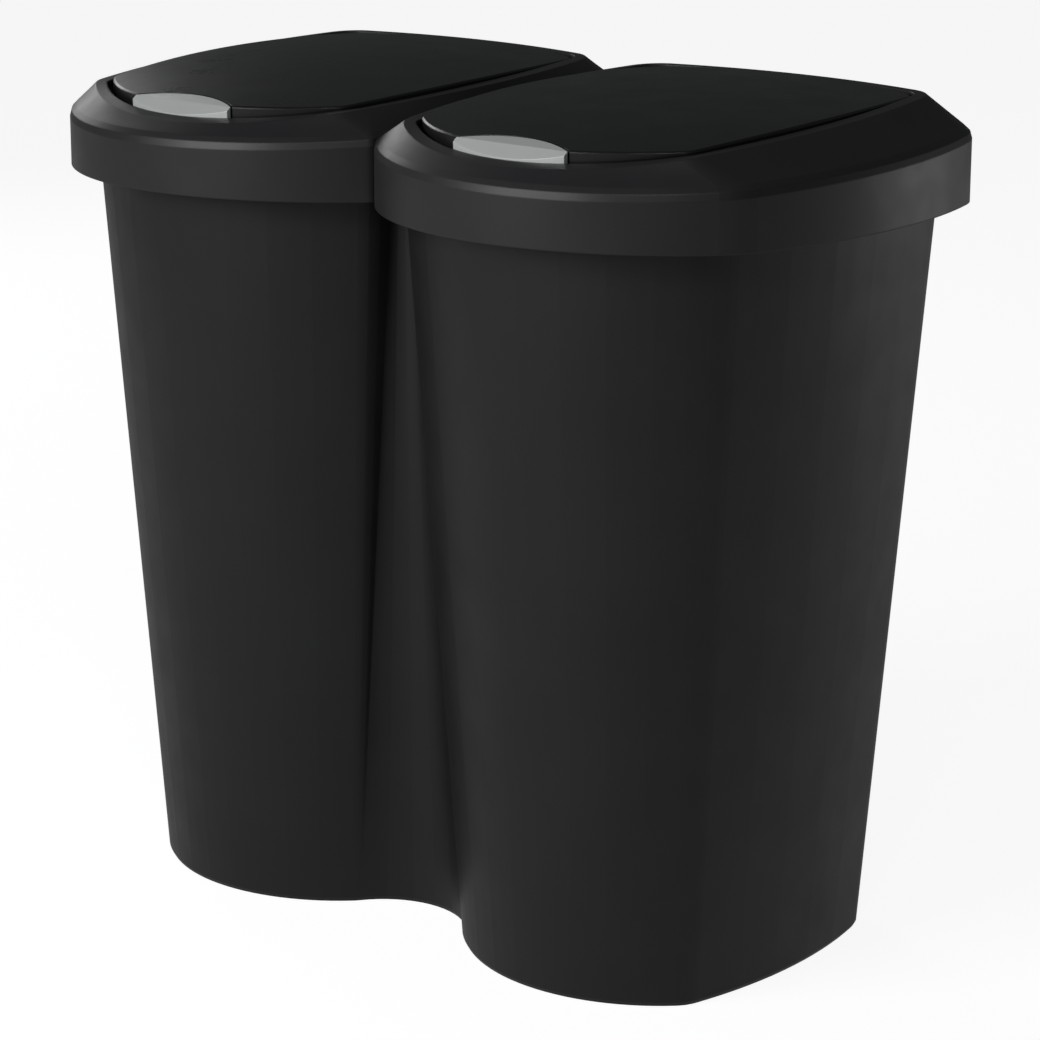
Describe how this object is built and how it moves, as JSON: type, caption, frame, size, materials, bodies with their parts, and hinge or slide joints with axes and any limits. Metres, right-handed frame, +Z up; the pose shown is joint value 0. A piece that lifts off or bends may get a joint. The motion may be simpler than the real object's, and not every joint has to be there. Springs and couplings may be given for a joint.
{
  "type": "double recycling bin",
  "caption": "Double recycling bin: one waisted tub with two cavities, two lids with push-button flaps.",
  "frame": {"origin": "on the ground, in the middle of the width and depth", "axes": "+X to the right lid seen from the front, +Y to the hinged back, +Z up"},
  "size_m": [0.54, 0.3172, 0.5024],
  "materials": {
    "tub_plastic": "fine matte",
    "lid_plastic": "satin",
    "flap_plastic": "semi-gloss",
    "button_silver": "silver lacquer",
    "inner_plastic": "natural",
    "pin_steel": "drawn",
    "spring_steel": "drawn wire"
  },
  "bodies": {
    "tub": {"tub": "tub_plastic"},
    "lid_right": {"lid_frame_right": "lid_plastic", "outer_hinge_pin_right": "pin_steel", "inner_hinge_pin_right": "pin_steel", "outer_hinge_spring_right": "spring_steel", "inner_hinge_spring_right": "spring_steel", "outer_button_spring_right": "spring_steel", "inner_button_spring_right": "spring_steel", "latch_pin_right": "pin_steel"},
    "flap_body_right": {"flap_right": "flap_plastic"},
    "button_body_right": {"button_right": "button_silver"},
    "latch_body_right": {"latch_right": "inner_plastic"},
    "lid_left": {"lid_frame_left": "lid_plastic", "outer_hinge_pin_left": "pin_steel", "inner_hinge_pin_left": "pin_steel", "outer_hinge_spring_left": "spring_steel", "inner_hinge_spring_left": "spring_steel", "outer_button_spring_left": "spring_steel", "inner_button_spring_left": "spring_steel", "latch_pin_left": "pin_steel"},
    "flap_body_left": {"flap_left": "flap_plastic"},
    "button_body_left": {"button_left": "button_silver"},
    "latch_body_left": {"latch_left": "inner_plastic"}
  },
  "joints": [
    {"name": "lid_lift_right", "type": "slide", "parent": "tub", "child": "lid_right", "axis": [0, 0, 1], "range_m": [0, 0.06]},
    {"name": "flap_hinge_right", "type": "hinge", "parent": "lid_right", "child": "flap_body_right", "pos_m": [0.1247, 0.09465, 0.4935], "axis": [-1, 0, 0], "range_deg": [0, 75]},
    {"name": "button_push_right", "type": "slide", "parent": "lid_right", "child": "button_body_right", "axis": [0, 0, -1], "range_m": [0, 0.002], "stiffness_N_per_m": 400, "deforming": ["outer_button_spring_right", "inner_button_spring_right"]},
    {"name": "latch_turn_right", "type": "hinge", "parent": "lid_right", "child": "latch_body_right", "pos_m": [0.1247, -0.11835, 0.461], "axis": [1, 0, 0], "range_deg": [0, 9]},
    {"name": "lid_lift_left", "type": "slide", "parent": "tub", "child": "lid_left", "axis": [0, 0, 1], "range_m": [0, 0.06]},
    {"name": "flap_hinge_left", "type": "hinge", "parent": "lid_left", "child": "flap_body_left", "pos_m": [-0.1247, 0.09465, 0.4935], "axis": [-1, 0, 0], "range_deg": [0, 75]},
    {"name": "button_push_left", "type": "slide", "parent": "lid_left", "child": "button_body_left", "axis": [0, 0, -1], "range_m": [0, 0.002], "stiffness_N_per_m": 400, "deforming": ["outer_button_spring_left", "inner_button_spring_left"]},
    {"name": "latch_turn_left", "type": "hinge", "parent": "lid_left", "child": "latch_body_left", "pos_m": [-0.1247, -0.11835, 0.461], "axis": [1, 0, 0], "range_deg": [0, 9]}
  ],
  "couplings": [
    {"joint": "latch_turn_right", "follows": "button_push_right", "rad_per_m": 69},
    {"joint": "latch_turn_left", "follows": "button_push_left", "rad_per_m": 69}
  ]
}
